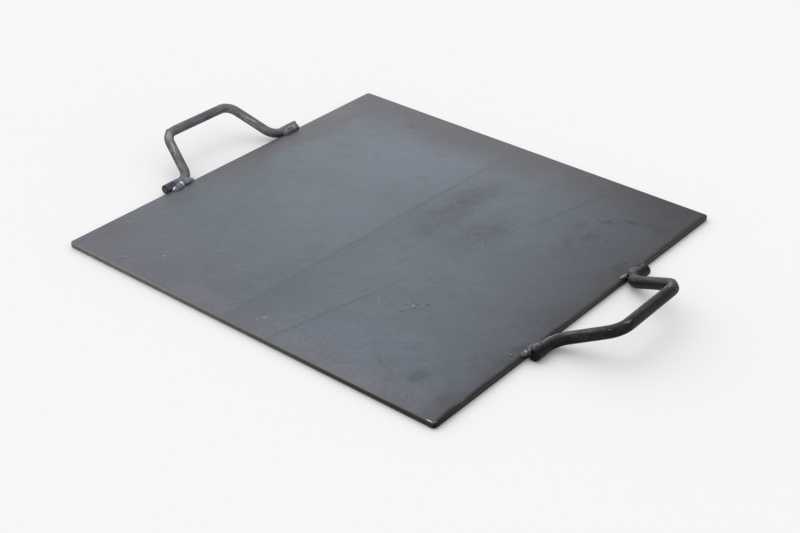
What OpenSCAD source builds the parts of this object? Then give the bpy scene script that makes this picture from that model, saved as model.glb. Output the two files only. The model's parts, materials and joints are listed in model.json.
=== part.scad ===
// Camp griddle plate: a flat square of hot-rolled steel with a bent round-bar handle
// welded to each of two opposite edges. Millimetres, +Z up. The origin is at the centre
// of the plate's underside, the handles are on the -X (left) and +X (right) edges, and
// the front edge is at -Y.

/* [Plate] */
// Width of the plate, from the left handle's edge to the right handle's edge
plate_w = 304.8; // [220:0.1:420]
// Depth of the plate, from the front edge to the rear edge
plate_d = 304.8; // [220:0.1:420]
// Thickness of the plate
plate_t = 3.5; // [2.5:0.1:6]
// Radius of the plate's four corners, seen from above
corner_r = 2.5; // [1:0.1:15]
// Radius worn on the upper and lower edges of the plate
arris_r = 0.6; // [0.2:0.05:1]

/* [Handle bars] */
// Bend radius of a bar, to its centre line
bend_r = 11; // [9:0.5:15]
// Loss of diameter where a bar is bent
bend_thinning = 0.1; // [0.05:0.05:0.4]
// Chamfer on the cut ends of a bar
bar_chamfer = 0.6; // [0.2:0.1:1.5]
// Gap left between the plate's edge and the feet of a bar, filled at the welds
root_gap = 0.2; // [0.1:0.05:0.8]

/* [Left handle] */
// Diameter of the left bar
left_bar_d = 7; // [5.5:0.1:10]
// Distance from the feet to the grip, measured up the slope of the handle
left_reach = 39.3; // [32:0.1:70]
// Upward slope of the handle, in degrees
left_slope_angle = 28.3; // [5:0.1:60]
// Distance between the two bends beside the feet
left_foot_span = 88.4; // [78:0.1:120]
// Distance between the two bends of the grip
left_grip_span = 62.9; // [45:0.1:72]
// Shift of the handle along the edge, towards the rear
left_shift = 3.2; // [-20:0.1:20]
// Length of the front foot, past its bend
left_front_foot = 22.5; // [17:0.1:40]
// Length of the rear foot, past its bend
left_rear_foot = 24; // [17:0.1:40]
// Height of the feet above the plate's underside
left_foot_lift = 0.6; // [0:0.1:2]

/* [Right handle] */
// Diameter of the right bar
right_bar_d = 8.2; // [5.5:0.1:10]
// Distance from the feet to the grip, measured up the slope of the handle
right_reach = 42.6; // [32:0.1:70]
// Upward slope of the handle, in degrees
right_slope_angle = 25.5; // [5:0.1:60]
// Distance between the two bends beside the feet
right_foot_span = 85.4; // [78:0.1:120]
// Distance between the two bends of the grip
right_grip_span = 64.4; // [45:0.1:72]
// Shift of the handle along the edge, towards the rear
right_shift = 0.4; // [-20:0.1:20]
// Length of the front foot, past its bend
right_front_foot = 21.5; // [17:0.1:40]
// Length of the rear foot, past its bend
right_rear_foot = 19.5; // [17:0.1:40]
// Height of the feet above the plate's underside
right_foot_lift = 0; // [0:0.1:2]

/* [Welds] */
// Radius of one weld puddle
puddle_r = 3.9; // [3:0.1:5]
// Number of puddles in a weld
puddle_count = 3; // [2:1:4]
// Length by which a puddle runs into the one before it
puddle_lap = 2.3; // [1:0.1:4]
// Distance of a puddle's centre outward from the plate's edge
puddle_out = 1; // [0:0.1:2]
// Height of a puddle's centre above the cooking face
puddle_up = 0.3; // [0:0.1:1]
// Depth of the weld's root below the cooking face
weld_root = 1; // [0.5:0.1:1.5]
// Distance of the left front weld's middle from the end of its foot
left_front_weld_inset = 11.5; // [4:0.1:14]
// Distance of the left rear weld's middle from the end of its foot
left_rear_weld_inset = 10; // [4:0.1:14]
// Distance of the right front weld's middle from the end of its foot
right_front_weld_inset = 5; // [4:0.1:14]
// Distance of the right rear weld's middle from the end of its foot
right_rear_weld_inset = 8; // [4:0.1:14]
// Radius of the largest bead of weld spatter, where it sits on the plate
spatter_r = 1.1; // [0.6:0.1:1.6]

/* [Hidden] */
$fn = 64;

// Beads of spatter round the right handle's welds: inset from the plate's edge, distance along Y
// past the end of the foot, share of spatter_r
front_spatter = [[6.4, 7.2, 1], [4.8, 11.2, 0.6]];
rear_spatter = [[11, 1.4, 1], [2.6, 6.9, 0.8], [2.4, -19.4, 0.9], [7.5, -15.6, 0.6]];
spatter_sink = 0.35; // share of a bead's radius that its centre lies below the cooking face
bend_lap = 0.4; // length of bar in which a bend and the straight beside it lie in one another

edge_x = plate_w / 2;
mill_scale = [0.40, 0.43, 0.46];
left_bar_grey = [0.38, 0.38, 0.38];
right_bar_grey = [0.20, 0.20, 0.20];
weld_grey = [0.50, 0.52, 0.56];

// Places of the feet's ends along Y
left_front_end = left_shift - left_foot_span / 2 - left_front_foot;
left_rear_end = left_shift + left_foot_span / 2 + left_rear_foot;
right_front_end = right_shift - right_foot_span / 2 - right_front_foot;
right_rear_end = right_shift + right_foot_span / 2 + right_rear_foot;

// Rectangle centred on the origin, with round corners
module rounded_rectangle(w, d, r) {
    square([w - 2 * r, d], center = true);
    square([w, d - 2 * r], center = true);
    for (sx = [-1, 1], sy = [-1, 1])
        translate([sx * (w / 2 - r), sy * (d / 2 - r)])
            circle(r);
}

// The plate: its outline from above, trimmed by its two rounded edge profiles
module plate_solid() {
    intersection() {
        linear_extrude(plate_t)
            rounded_rectangle(plate_w, plate_d, corner_r);
        translate([0, 0, plate_t / 2])
            rotate([90, 0, 0])
                linear_extrude(2 * plate_d, center = true)
                    rounded_rectangle(plate_w, plate_t, arris_r);
        translate([0, 0, plate_t / 2])
            rotate([90, 0, 90])
                linear_extrude(2 * plate_w, center = true)
                    rounded_rectangle(plate_d, plate_t, arris_r);
    }
}

// Foot of a bar along +Y, with its outer end chamfered at the origin
module foot(d, length) {
    rotate([-90, 0, 0])
        rotate_extrude()
            polygon([
                [0, 0],
                [d / 2 - bar_chamfer, 0],
                [d / 2, bar_chamfer],
                [d / 2, length],
                [0, length]
            ]);
}

// Straight run of bar along +Y
module straight(d, length) {
    rotate([-90, 0, 0])
        cylinder(d = d, h = length);
}

// Bend of a bar that runs along +Y, towards +X for a positive angle. The bar thins a little
// where it is bent, and each end of the bend runs on into the straight beside it.
module bend(d, angle) {
    turn = abs(angle);
    side = sign(angle);
    lap = bend_lap / bend_r * 180 / PI;
    translate([side * bend_r, 0, 0])
        rotate((side > 0 ? 180 - turn : 0) - lap)
            rotate_extrude(angle = turn + 2 * lap)
                translate([bend_r, 0])
                    circle(d = d - bend_thinning);
}

// Moves what follows to the far end of a straight run, or of a bend
module after_straight(length) {
    translate([0, length, 0])
        children();
}

module after_bend(angle) {
    turn = abs(angle);
    translate([sign(angle) * bend_r * (1 - cos(turn)), bend_r * sin(turn), 0])
        rotate(-angle)
            children();
}

// One half of a handle, from the end of its foot at the origin to the bend at its grip
module half_handle(d, foot_run, leg_run, turn) {
    foot(d, foot_run);
    after_straight(foot_run) {
        bend(d, turn);
        after_bend(turn) {
            straight(d, leg_run);
            after_straight(leg_run)
                bend(d, -turn);
        }
    }
}

// Handle on the right edge: foot, leg, grip, leg and foot, bent from one bar in a sloping plane
module handle_bar(d, reach, slope_angle, foot_span, grip_span, shift, front_foot, rear_foot, lift) {
    splay = (foot_span - grip_span) / 2;
    turn = atan2(reach, splay);
    bend_run = bend_r * tan(turn / 2);
    leg_run = norm([reach, splay]) - 2 * bend_run;
    grip_run = grip_span - 2 * bend_run;
    translate([edge_x + root_gap + d / 2, shift, lift + d / 2])
        rotate([0, -slope_angle, 0]) {
            translate([0, -foot_span / 2 - front_foot, 0])
                half_handle(d, front_foot - bend_run, leg_run, turn);
            mirror([0, 1, 0])
                translate([0, -foot_span / 2 - rear_foot, 0])
                    half_handle(d, rear_foot - bend_run, leg_run, turn);
            translate([reach, -grip_run / 2, 0])
                straight(d, grip_run);
        }
}

module left_bar() {
    mirror([1, 0, 0])
        handle_bar(left_bar_d, left_reach, left_slope_angle, left_foot_span, left_grip_span,
                   left_shift, left_front_foot, left_rear_foot, left_foot_lift);
}

module right_bar() {
    handle_bar(right_bar_d, right_reach, right_slope_angle, right_foot_span, right_grip_span,
               right_shift, right_front_foot, right_rear_foot, right_foot_lift);
}

// Row of weld puddles along an edge, side -1 for the left and 1 for the right, before the
// plate and the bar are cut from it
module puddles(side, middle) {
    pitch = 2 * puddle_r - puddle_lap;
    first = middle - pitch * (puddle_count - 1) / 2;
    intersection() {
        for (i = [0 : puddle_count - 1])
            translate([side * (edge_x + puddle_out), first + i * pitch, plate_t + puddle_up])
                sphere(puddle_r);
        translate([-plate_w, -plate_d, plate_t - weld_root])
            cube([2 * plate_w, 2 * plate_d, weld_root + puddle_up + 2 * puddle_r]);
    }
}

// Weld along an edge, cut to lie against the plate and against the bar that is its child
module weld(side, middle) {
    color(weld_grey)
        difference() {
            puddles(side, middle);
            plate_solid();
            children();
        }
}

// One bead of spatter stuck to the cooking face
module spatter_bead(inset, y, share) {
    r = spatter_r * share;
    translate([edge_x - inset, y, plate_t - spatter_sink * r])
        sphere(r);
}

module griddle_plate() {
    color(mill_scale)
        plate_solid();
}

module left_handle() {
    color(left_bar_grey)
        left_bar();
}

module right_handle() {
    color(right_bar_grey)
        right_bar();
}

module left_front_weld() {
    weld(-1, left_front_end + left_front_weld_inset)
        left_bar();
}

module left_rear_weld() {
    weld(-1, left_rear_end - left_rear_weld_inset)
        left_bar();
}

module right_front_weld() {
    weld(1, right_front_end + right_front_weld_inset)
        right_bar();
}

module right_rear_weld() {
    weld(1, right_rear_end - right_rear_weld_inset)
        right_bar();
}

module weld_spatter() {
    color(weld_grey)
        difference() {
            union() {
                for (bead = front_spatter)
                    spatter_bead(bead[0], right_front_end - bead[1], bead[2]);
                for (bead = rear_spatter)
                    spatter_bead(bead[0], right_rear_end + bead[1], bead[2]);
            }
            plate_solid();
        }
}

griddle_plate();
left_handle();
right_handle();
left_front_weld();
left_rear_weld();
right_front_weld();
right_rear_weld();
weld_spatter();
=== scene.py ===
import json
import math
import random

import bmesh
import bpy
from mathutils import Matrix, Vector

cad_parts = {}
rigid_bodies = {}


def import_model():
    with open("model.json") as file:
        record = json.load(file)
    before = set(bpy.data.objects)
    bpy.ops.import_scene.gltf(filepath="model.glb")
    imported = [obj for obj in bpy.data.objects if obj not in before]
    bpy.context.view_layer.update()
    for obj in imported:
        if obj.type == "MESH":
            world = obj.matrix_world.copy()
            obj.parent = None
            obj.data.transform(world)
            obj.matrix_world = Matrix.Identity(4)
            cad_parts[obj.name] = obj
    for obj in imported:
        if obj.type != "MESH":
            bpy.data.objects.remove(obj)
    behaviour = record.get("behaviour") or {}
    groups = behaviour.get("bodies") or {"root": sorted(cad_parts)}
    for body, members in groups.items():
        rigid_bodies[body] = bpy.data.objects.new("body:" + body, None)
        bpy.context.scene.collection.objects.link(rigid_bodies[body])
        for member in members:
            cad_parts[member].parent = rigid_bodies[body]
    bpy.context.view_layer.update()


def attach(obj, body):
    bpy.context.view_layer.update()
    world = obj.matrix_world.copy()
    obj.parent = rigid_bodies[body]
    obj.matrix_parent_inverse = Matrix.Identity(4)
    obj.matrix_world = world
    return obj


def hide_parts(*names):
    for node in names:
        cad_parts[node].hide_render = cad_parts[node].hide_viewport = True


# Camp griddle plate: a square of hot-rolled steel with a bent round bar welded to each of
# two opposite edges. Metres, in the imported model's frame: the plate lies on z = 0, the
# handles are on the -X and +X edges and the front edge is at -Y.

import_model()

MM = 0.001
# Distance, in metres, within which points count as level or as one
CLOSE = 1e-6
# Upright share of a face's normal from which the face counts as level
LEVEL_NORMAL = 0.999
# Share of a rough surface's relief that lies below the smooth surface
SUNKEN_SHARE = 0.8

# Camera, at the photograph's viewpoint, turned from the front towards +X
CAMERA_TURN = math.radians(38.711)
CAMERA_RISE = math.radians(31.609)
CAMERA_ROLL = math.radians(0.773)
CAMERA_DISTANCE = 0.95941
CAMERA_TARGET = Vector((0.02963, -0.03148, 0.0))
CAMERA_LENS = 66.641
SENSOR_WIDTH = 36

# Plate, in millimetres
PLATE_EDGE = 152.4
PLATE_T = 3.5
PLATE_CORNER = 2.5
PLATE_ARRIS = 0.45
PLATE_LOWER_ARRIS = 0.8
CORNER_STEPS = 10
ARRIS_STEPS = 4
# Rings laid inside the rim of the flat faces, and the distance at which their corner points merge
EDGE_RINGS = [0.35, 0.5, 0.9]
CORNER_MERGE = 0.3
# Lines along the right-hand edge, and how much further the sheet drops past each
ROLLOVER = [(150.4, 0.03), (151.2, 0.07), (151.8, 0.1), (152.1, 0.08)]

# Handle bars, in millimetres and degrees
BEND_R = 11.0
# Gap between the plate's edge and the feet of a bar
ROOT_GAP = 0.2
BAR_SIDES = 32
BEND_STEPS = 14
FOOT_STEPS = 12
LEG_STEPS = 20
GRIP_STEPS = 36
# Rings laid inside the rim of a sawn end
END_RINGS = [0.15, 0.6, 0.8, 0.8]
# Distance from the middle of a dent within which the surface moves by its full depth
DENT_CORE = 0.6
# A dent is given by its run along the bar, its distance round it from its top, its depth, which is
# negative for a bulge, its reach and how far it is driven back along the bar
LEFT_BAR = dict(side=-1, d=7.0, reach=39.3, slope=28.3, foot_span=88.4, grip_span=62.9,
                shift=3.2, front_foot=22.5, rear_foot=24.0, lift=0.6, chamfer=0.2,
                dents=[(62.4, 3.8, -0.9, 2.7, 0), (65.9, 3.2, 0.6, 2.1, 0),
                       (183.3, -0.8, 0.2, 3.2, 1.2)])
RIGHT_BAR = dict(side=1, d=8.2, reach=42.6, slope=25.5, foot_span=85.4, grip_span=64.4,
                 shift=0.4, front_foot=21.5, rear_foot=19.5, lift=0.0, chamfer=0.5,
                 dents=[(123.2, 5.6, 0.6, 5.5, 0), (117.0, 1.2, 0.3, 3.0, 0)])


# Modelling helpers

def deselect_all():
    for other in bpy.context.view_layer.objects:
        other.select_set(False)
    bpy.context.view_layer.objects.active = None


def begin_edit(piece):
    deselect_all()
    piece.select_set(True)
    bpy.context.view_layer.objects.active = piece
    bpy.ops.object.mode_set(mode="EDIT")


def end_edit():
    bpy.ops.object.mode_set(mode="OBJECT")


def select_points(piece, test):
    """In edit mode, selects the points that pass the test, and the edges and faces between them."""
    bpy.ops.mesh.select_mode(type="VERT")
    bpy.ops.mesh.select_all(action="DESELECT")
    mesh = bmesh.from_edit_mesh(piece.data)
    for point in mesh.verts:
        if test(point.co):
            point.select_set(True)
    mesh.select_flush(True)
    bmesh.update_edit_mesh(piece.data)


def select_edges(piece, test):
    """In edit mode, selects the edges whose two ends pass the test together."""
    bpy.ops.mesh.select_mode(type="EDGE")
    bpy.ops.mesh.select_all(action="DESELECT")
    mesh = bmesh.from_edit_mesh(piece.data)
    for edge in mesh.edges:
        if test(edge.verts[0].co, edge.verts[1].co):
            edge.select_set(True)
    bmesh.update_edit_mesh(piece.data)


def select_faces(piece, test):
    """In edit mode, selects the faces whose normal passes the test."""
    bpy.ops.mesh.select_mode(type="FACE")
    bpy.ops.mesh.select_all(action="DESELECT")
    mesh = bmesh.from_edit_mesh(piece.data)
    mesh.normal_update()
    for face in mesh.faces:
        if test(face.normal):
            face.select_set(True)
    bmesh.update_edit_mesh(piece.data)


def apply_modifier(piece, kind, **settings):
    """Adds a modifier with these settings and applies it."""
    deselect_all()
    piece.select_set(True)
    bpy.context.view_layer.objects.active = piece
    modifier = piece.modifiers.new(kind.lower(), kind)
    for name, value in settings.items():
        setattr(modifier, name, value)
    bpy.ops.object.modifier_apply(modifier=modifier.name)


def roughen(piece, name, grain, depth, detail=2):
    """Gives the surface relief of this depth, in lumps of about the size of grain."""
    lumps = bpy.data.textures.new(name, "CLOUDS")
    lumps.noise_scale = grain * MM
    lumps.noise_depth = detail
    apply_modifier(piece, "DISPLACE", texture=lumps, texture_coords="LOCAL",
                   strength=depth * MM, mid_level=SUNKEN_SHARE)


def finish_piece(piece, name, node, material, smooth_angle=60):
    """Names a piece, gives it its finish and sets it in the place of its CAD node."""
    piece.name = name
    piece.data.name = name
    deselect_all()
    piece.select_set(True)
    bpy.context.view_layer.objects.active = piece
    bpy.ops.object.transform_apply(location=True, rotation=True, scale=True)
    bpy.ops.object.shade_smooth_by_angle(angle=math.radians(smooth_angle))
    piece.data.materials.clear()
    piece.data.materials.append(material)
    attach(piece, "root")
    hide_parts(node)


# Plate

def model_plate(material):
    """A flat box with round corners, softened arrises and a slight rollover."""
    middle = PLATE_T * MM / 2
    deselect_all()
    bpy.ops.mesh.primitive_cube_add(
        size=1, location=(0, 0, middle),
        scale=(2 * PLATE_EDGE * MM, 2 * PLATE_EDGE * MM, PLATE_T * MM))
    plate = bpy.context.object
    bpy.ops.object.transform_apply(location=True, rotation=True, scale=True)
    begin_edit(plate)
    select_edges(plate, lambda a, b: abs(a.z - b.z) > middle)
    bpy.ops.mesh.bevel(offset=PLATE_CORNER * MM, segments=CORNER_STEPS, affect="EDGES")
    # Arrises, softened by handling, the lower one more
    select_edges(plate, lambda a, b: a.z > middle and b.z > middle)
    bpy.ops.mesh.bevel(offset=PLATE_ARRIS * MM, segments=ARRIS_STEPS, affect="EDGES")
    select_edges(plate, lambda a, b: a.z < CLOSE and b.z < CLOSE)
    bpy.ops.mesh.bevel(offset=PLATE_LOWER_ARRIS * MM, segments=ARRIS_STEPS, affect="EDGES")
    select_faces(plate, lambda normal: abs(normal.z) > LEVEL_NORMAL)
    for ring in EDGE_RINGS:
        bpy.ops.mesh.inset(thickness=ring * MM)
    bpy.ops.mesh.remove_doubles(threshold=CORNER_MERGE * MM)
    # The shears drew the sheet down a little along the right-hand edge
    for line, drop in ROLLOVER:
        select_points(plate, lambda p: p.z > middle and p.x > line * MM)
        bpy.ops.transform.translate(value=(0, 0, -drop * MM))
    end_edit()
    finish_piece(plate, "plate_sheet", "griddle_plate", material, smooth_angle=50)


# Handle bars

class BarLine:
    """The centre line of a bar in its sloping plane: straights and bends, one after another.
    Lengths are in millimetres, and a heading is the angle from +Y towards the outside."""

    def __init__(self, side, start, slope):
        tilt = math.radians(slope)
        self.outward = Vector((side * math.cos(tilt), 0, math.sin(tilt)))
        self.along = Vector((0, 1, 0))
        self.axis = self.outward.cross(self.along)
        self.top = self.axis * side
        self.spot = start
        self.heading = 0.0
        self.run = 0.0
        self.stretches = []

    def way(self, heading):
        """The direction in which the bar runs at a heading."""
        return self.outward * math.sin(heading) + self.along * math.cos(heading)

    def flank(self, heading):
        """The direction to the bar's side at a heading, in the sloping plane."""
        return self.outward * math.cos(heading) - self.along * math.sin(heading)

    def go(self, length):
        """Runs straight on."""
        self.stretches.append((self.run, self.spot, self.heading, length, 0.0))
        self.spot = self.spot + self.way(self.heading) * length
        self.run += length

    def turn(self, angle):
        """Runs round a bend, and hands back the bend's centre."""
        hand = math.copysign(1, angle)
        centre = self.spot + self.flank(self.heading) * (hand * BEND_R)
        self.stretches.append((self.run, centre, self.heading, abs(angle) * BEND_R, hand))
        self.heading += angle
        self.spot = centre - self.flank(self.heading) * (hand * BEND_R)
        self.run += abs(angle) * BEND_R
        return centre

    def place(self, run):
        """The centre and the heading of the bar after a run along it."""
        for begin, origin, heading, length, hand in self.stretches:
            if run <= begin + length:
                break
        if hand == 0:
            return origin + self.way(heading) * (run - begin), heading
        heading = heading + hand * (run - begin) / BEND_R
        return origin - self.flank(heading) * (hand * BEND_R), heading

    def straighten(self, point):
        """A point as run along the bar, and offsets to its flank and to its top."""
        best = None
        for begin, origin, heading, length, hand in self.stretches:
            away = point - origin
            if hand == 0:
                run = away.dot(self.way(heading))
            else:
                swing = math.atan2(away.dot(self.way(heading)), -away.dot(self.flank(heading)) * hand)
                run = swing * BEND_R
            run = begin + min(max(run, 0.0), length)
            centre, facing = self.place(run)
            if best is None or (point - centre).length < best[0]:
                best = ((point - centre).length, run, facing, centre)
        _, run, facing, centre = best
        return (run, (point - centre).dot(self.flank(facing)), (point - centre).dot(self.top))


def bar_runs(reach, foot_span, grip_span):
    """The angle of each bend, the run that a bend takes from the straights beside it, and the
    straight runs that are left on a leg and on the grip."""
    splay = (foot_span - grip_span) / 2
    turn = math.atan2(reach, splay)
    bend_run = BEND_R * math.tan(turn / 2)
    leg_run = math.hypot(reach, splay) - 2 * bend_run
    return turn, bend_run, leg_run, grip_span - 2 * bend_run


def bar_length(bar):
    """Length of a bar before bending."""
    turn, bend_run, leg_run, grip_run = bar_runs(bar["reach"], bar["foot_span"], bar["grip_span"])
    feet_run = bar["front_foot"] + bar["rear_foot"] - 2 * bend_run
    return feet_run + 2 * leg_run + grip_run + 4 * BEND_R * turn


def cap_end():
    """Closes the selected ring of points into a sawn end."""
    bpy.ops.mesh.edge_face_add()
    for ring in END_RINGS:
        bpy.ops.mesh.inset(thickness=ring * MM)


def dent_bar(bar, line, r, dents):
    """Flats, creases and bulges left by the bending tool."""
    for run, around, depth, spread, back in dents:
        centre, facing = line.place(run)
        angle = around / r
        outside = line.flank(facing) * math.sin(angle) + line.top * math.cos(angle)
        aim = (centre + outside * r) * MM
        near = min((v.co for v in bmesh.from_edit_mesh(bar.data).verts),
                   key=lambda p: (p - aim).length).copy()
        select_points(bar, lambda p: (p - near).length < DENT_CORE * MM)
        bpy.ops.transform.translate(
            value=(outside * depth + line.way(facing) * back) * -MM, use_proportional_edit=True,
            proportional_edit_falloff="SMOOTH", proportional_size=spread * MM)


def bend_handle(name, node, material, side, d, reach, slope, foot_span, grip_span, shift,
                front_foot, rear_foot, lift, chamfer, dents):
    """Draws one bar as a ring of points, pushed along its straights and spun round its bends."""
    r = d / 2
    turn, bend_run, leg_run, grip_run = bar_runs(reach, foot_span, grip_span)
    start = Vector((side * (PLATE_EDGE + ROOT_GAP + r), shift - foot_span / 2 - front_foot, lift + r))
    line = BarLine(side, start, slope)
    deselect_all()
    bpy.ops.mesh.primitive_circle_add(
        vertices=BAR_SIDES, radius=(r - chamfer) * MM, fill_type="NOTHING",
        location=start * MM, rotation=(math.radians(90), 0, 0))
    bar = bpy.context.object
    bpy.ops.object.transform_apply(location=True, rotation=True, scale=True)
    begin_edit(bar)
    bpy.ops.mesh.select_all(action="SELECT")

    def push(length, steps):
        step = line.way(line.heading) * (length / steps * MM)
        for _ in range(steps):
            bpy.ops.mesh.extrude_region_move(TRANSFORM_OT_translate={"value": step})
        line.go(length)

    def widen(share):
        bpy.ops.transform.resize(value=(share, share, share), center_override=line.spot * MM)

    def bend(angle):
        centre = line.turn(angle)
        bpy.ops.mesh.spin(steps=BEND_STEPS, angle=angle, center=centre * MM, axis=line.axis)

    full = r / (r - chamfer)
    push(chamfer, 1)
    widen(full)
    push(front_foot - bend_run - chamfer, FOOT_STEPS)
    bend(turn)
    push(leg_run, LEG_STEPS)
    bend(-turn)
    push(grip_run, GRIP_STEPS)
    bend(-turn)
    push(leg_run, LEG_STEPS)
    bend(turn)
    push(rear_foot - bend_run - chamfer, FOOT_STEPS)
    push(chamfer, 1)
    widen(1 / full)
    cap_end()
    select_points(bar, lambda p: abs(p.y - start.y * MM) < CLOSE)
    cap_end()
    bpy.ops.mesh.select_all(action="SELECT")
    bpy.ops.mesh.remove_doubles(threshold=CLOSE)
    bpy.ops.mesh.normals_make_consistent(inside=False)
    dent_bar(bar, line, r, dents)
    end_edit()
    apply_modifier(bar, "SUBSURF", levels=1, render_levels=1)
    roughen(bar, name + "_forging", grain=7.0, depth=0.12)
    roughen(bar, name + "_scale_pits", grain=1.1, depth=0.06, detail=3)
    # The bar as it was before bending, for marks that follow it
    straight = bar.data.attributes.new("straightened", "FLOAT_VECTOR", "POINT")
    for point, kept in zip(bar.data.vertices, straight.data):
        kept.vector = Vector(line.straighten(point.co / MM)) * MM
    finish_piece(bar, name, node, material)


# Welds

# Height below which a bead is squeezed into its root, and the share of its depth that it keeps
WELD_ROOT = 2.6
ROOT_SHARE = 0.35
# Grid on which puddles melt together, and how strongly each round of smoothing levels them
WELD_GRID = 0.24
LEVELLING = 0.5
# Length and height of a crumb, as shares of its radius
CRUMB_LENGTHS = (0.9, 1.3)
CRUMB_HEIGHTS = (0.7, 1.0)


def pile_weld(name, node, material, side, puddles, grain, depth, smoothing):
    """Melts a row of puddles into one bead, smooths it and gives it lumps of a grain and depth."""
    deselect_all()
    bead = None
    for out, along, up, half_out, half_along, half_up, lean in puddles:
        place = Vector((side * (PLATE_EDGE + out), along, up)) * MM
        size = Vector((half_out, half_along, half_up)) * MM
        bpy.ops.mesh.primitive_uv_sphere_add(
            segments=24, ring_count=14, radius=1, location=place,
            rotation=(math.radians(lean), 0, 0), scale=size)
        if bead is None:
            bead = bpy.context.object
            bpy.ops.object.transform_apply(location=True, rotation=True, scale=True)
            begin_edit(bead)
    end_edit()
    apply_modifier(bead, "REMESH", mode="VOXEL", voxel_size=WELD_GRID * MM)
    apply_modifier(bead, "SMOOTH", factor=LEVELLING, iterations=smoothing)
    # The root thins out between the plate and the bar
    begin_edit(bead)
    select_points(bead, lambda p: p.z < WELD_ROOT * MM)
    bpy.ops.transform.resize(value=(1, 1, ROOT_SHARE), center_override=(0, 0, WELD_ROOT * MM))
    end_edit()
    roughen(bead, name + "_lumps", grain, depth)
    finish_piece(bead, name, node, material)


def mound_height(mound, out, along):
    """Height of a mound of puddles over a place at the plate's edge, or nothing beside it."""
    height = None
    for middle_out, middle_along, up, half_out, half_along, half_up, _ in mound:
        reach = ((out - middle_out) / half_out) ** 2 + ((along - middle_along) / half_along) ** 2
        if reach < 1:
            height = max(height or 0, up + half_up * math.sqrt(1 - reach))
    return height


def crumbs(seed, count, mound, along_from, along_to, out_from, out_to, small, large):
    """Small lumps strewn over a mound of puddles, and over the plate where the mound ends."""
    draw = random.Random(seed)
    lumps = []
    for step in range(count):
        along = along_from + (along_to - along_from) * (step + draw.random()) / count
        out = draw.uniform(out_from, out_to)
        r = draw.uniform(small, large)
        up = mound_height(mound, out, along)
        if up is None:
            out = -abs(out)
            up = mound_height(mound, out, along) or PLATE_T
        half_along = r * draw.uniform(*CRUMB_LENGTHS)
        half_up = r * draw.uniform(*CRUMB_HEIGHTS)
        lumps.append((out, along, up, r, half_along, half_up, 0))
    return lumps


# Puddles of the welds, in millimetres and degrees: place outward from the plate's edge, along Y
# and in height, the half sizes the same three ways, and the lean along the edge
LEFT_FRONT_PUDDLES = [
    (-0.5, -57.0, 3.0, 2.9, 3.3, 3.0, 8),
    (-0.1, -53.6, 3.2, 3.3, 3.6, 3.7, 8),
    (0.9, -50.0, 3.4, 3.0, 3.0, 3.6, 5),
    (1.2, -44.8, 3.4, 3.2, 3.4, 3.8, 5),
    (0.8, -41.2, 3.1, 2.6, 2.6, 2.6, 0),
]
LEFT_REAR_PUDDLES = [
    (0.9, 56.6, 3.2, 2.8, 2.8, 3.2, 5),
    (1.3, 59.8, 3.5, 3.2, 4.6, 3.8, 5),
    (1.3, 62.6, 3.5, 3.2, 4.6, 3.9, 5),
    (1.3, 65.8, 3.5, 3.2, 4.4, 4.0, 5),
    (1.2, 68.3, 3.4, 3.0, 2.9, 3.8, 0),
]
RIGHT_FRONT_PUDDLES = [
    (-1.4, -66.2, 3.5, 1.5, 2.4, 1.0, 0),
    (-0.2, -64.2, 4.0, 1.8, 2.2, 1.5, 0),
    (0.6, -62.0, 4.8, 2.9, 2.4, 2.4, 0),
    (1.7, -60.4, 5.7, 3.3, 2.8, 2.4, 0),
    (1.7, -56.8, 5.7, 3.3, 2.8, 2.5, 0),
    (1.8, -53.6, 5.2, 2.7, 2.4, 2.4, 0),
    (-1.0, -57.5, 3.9, 2.2, 4.0, 1.3, 0),
]
RIGHT_FRONT_PUDDLES += crumbs(
    seed=4, count=30, mound=RIGHT_FRONT_PUDDLES, along_from=-67.5, along_to=-51.5,
    out_from=-2.2, out_to=2.2, small=0.6, large=1.1)
RIGHT_REAR_PUDDLES = [
    (1.8, 52.6, 5.2, 4.2, 4.6, 3.5, 0),
    (3.0, 54.4, 6.3, 2.8, 3.2, 2.5, 0),
    (-0.9, 54.2, 3.6, 2.5, 3.8, 1.9, 0),
    (2.4, 62.4, 6.5, 1.8, 2.0, 1.5, 0),
    (-1.4, 47.4, 3.7, 1.6, 1.4, 1.5, 0),
    (-2.0, 44.4, 3.6, 1.4, 1.4, 1.3, 0),
]
RIGHT_REAR_PUDDLES += crumbs(
    seed=9, count=7, mound=RIGHT_REAR_PUDDLES, along_from=43.5, along_to=50.0,
    out_from=-2.4, out_to=-0.6, small=0.5, large=0.9)

# Spatter: place of each bead on the plate and its radius, in millimetres
SPATTER = [(146.0, -71.0, 1.1), (147.6, -75.0, 0.66), (141.4, 64.0, 1.1),
           (149.8, 69.5, 0.88), (150.0, 43.2, 0.99), (144.9, 47.0, 0.66)]
# Shares of a bead's radius: how deep its middle lies, its half length and its half height
BEAD_SINK = 0.2
BEAD_LENGTH = 1.05
BEAD_HEIGHT = 0.85
# Turn of a bead for each millimetre of its place, so that no two lie alike
BEAD_TURNS = (0.3, 0.2)


def drop_spatter(material):
    """Beads of weld metal stuck to the cooking face, joined into one piece."""
    deselect_all()
    beads = None
    for x, y, r in SPATTER:
        bpy.ops.mesh.primitive_ico_sphere_add(
            subdivisions=4, radius=1, location=(x * MM, y * MM, (PLATE_T - BEAD_SINK * r) * MM),
            rotation=(BEAD_TURNS[0] * x, BEAD_TURNS[1] * y, 0),
            scale=(BEAD_LENGTH * r * MM, r * MM, BEAD_HEIGHT * r * MM))
        if beads is None:
            beads = bpy.context.object
            bpy.ops.object.transform_apply(location=True, rotation=True, scale=True)
            begin_edit(beads)
    end_edit()
    roughen(beads, "spatter_lumps", grain=0.9, depth=0.35)
    finish_piece(beads, "spatter_beads", "weld_spatter", material)


# Finishes

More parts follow.
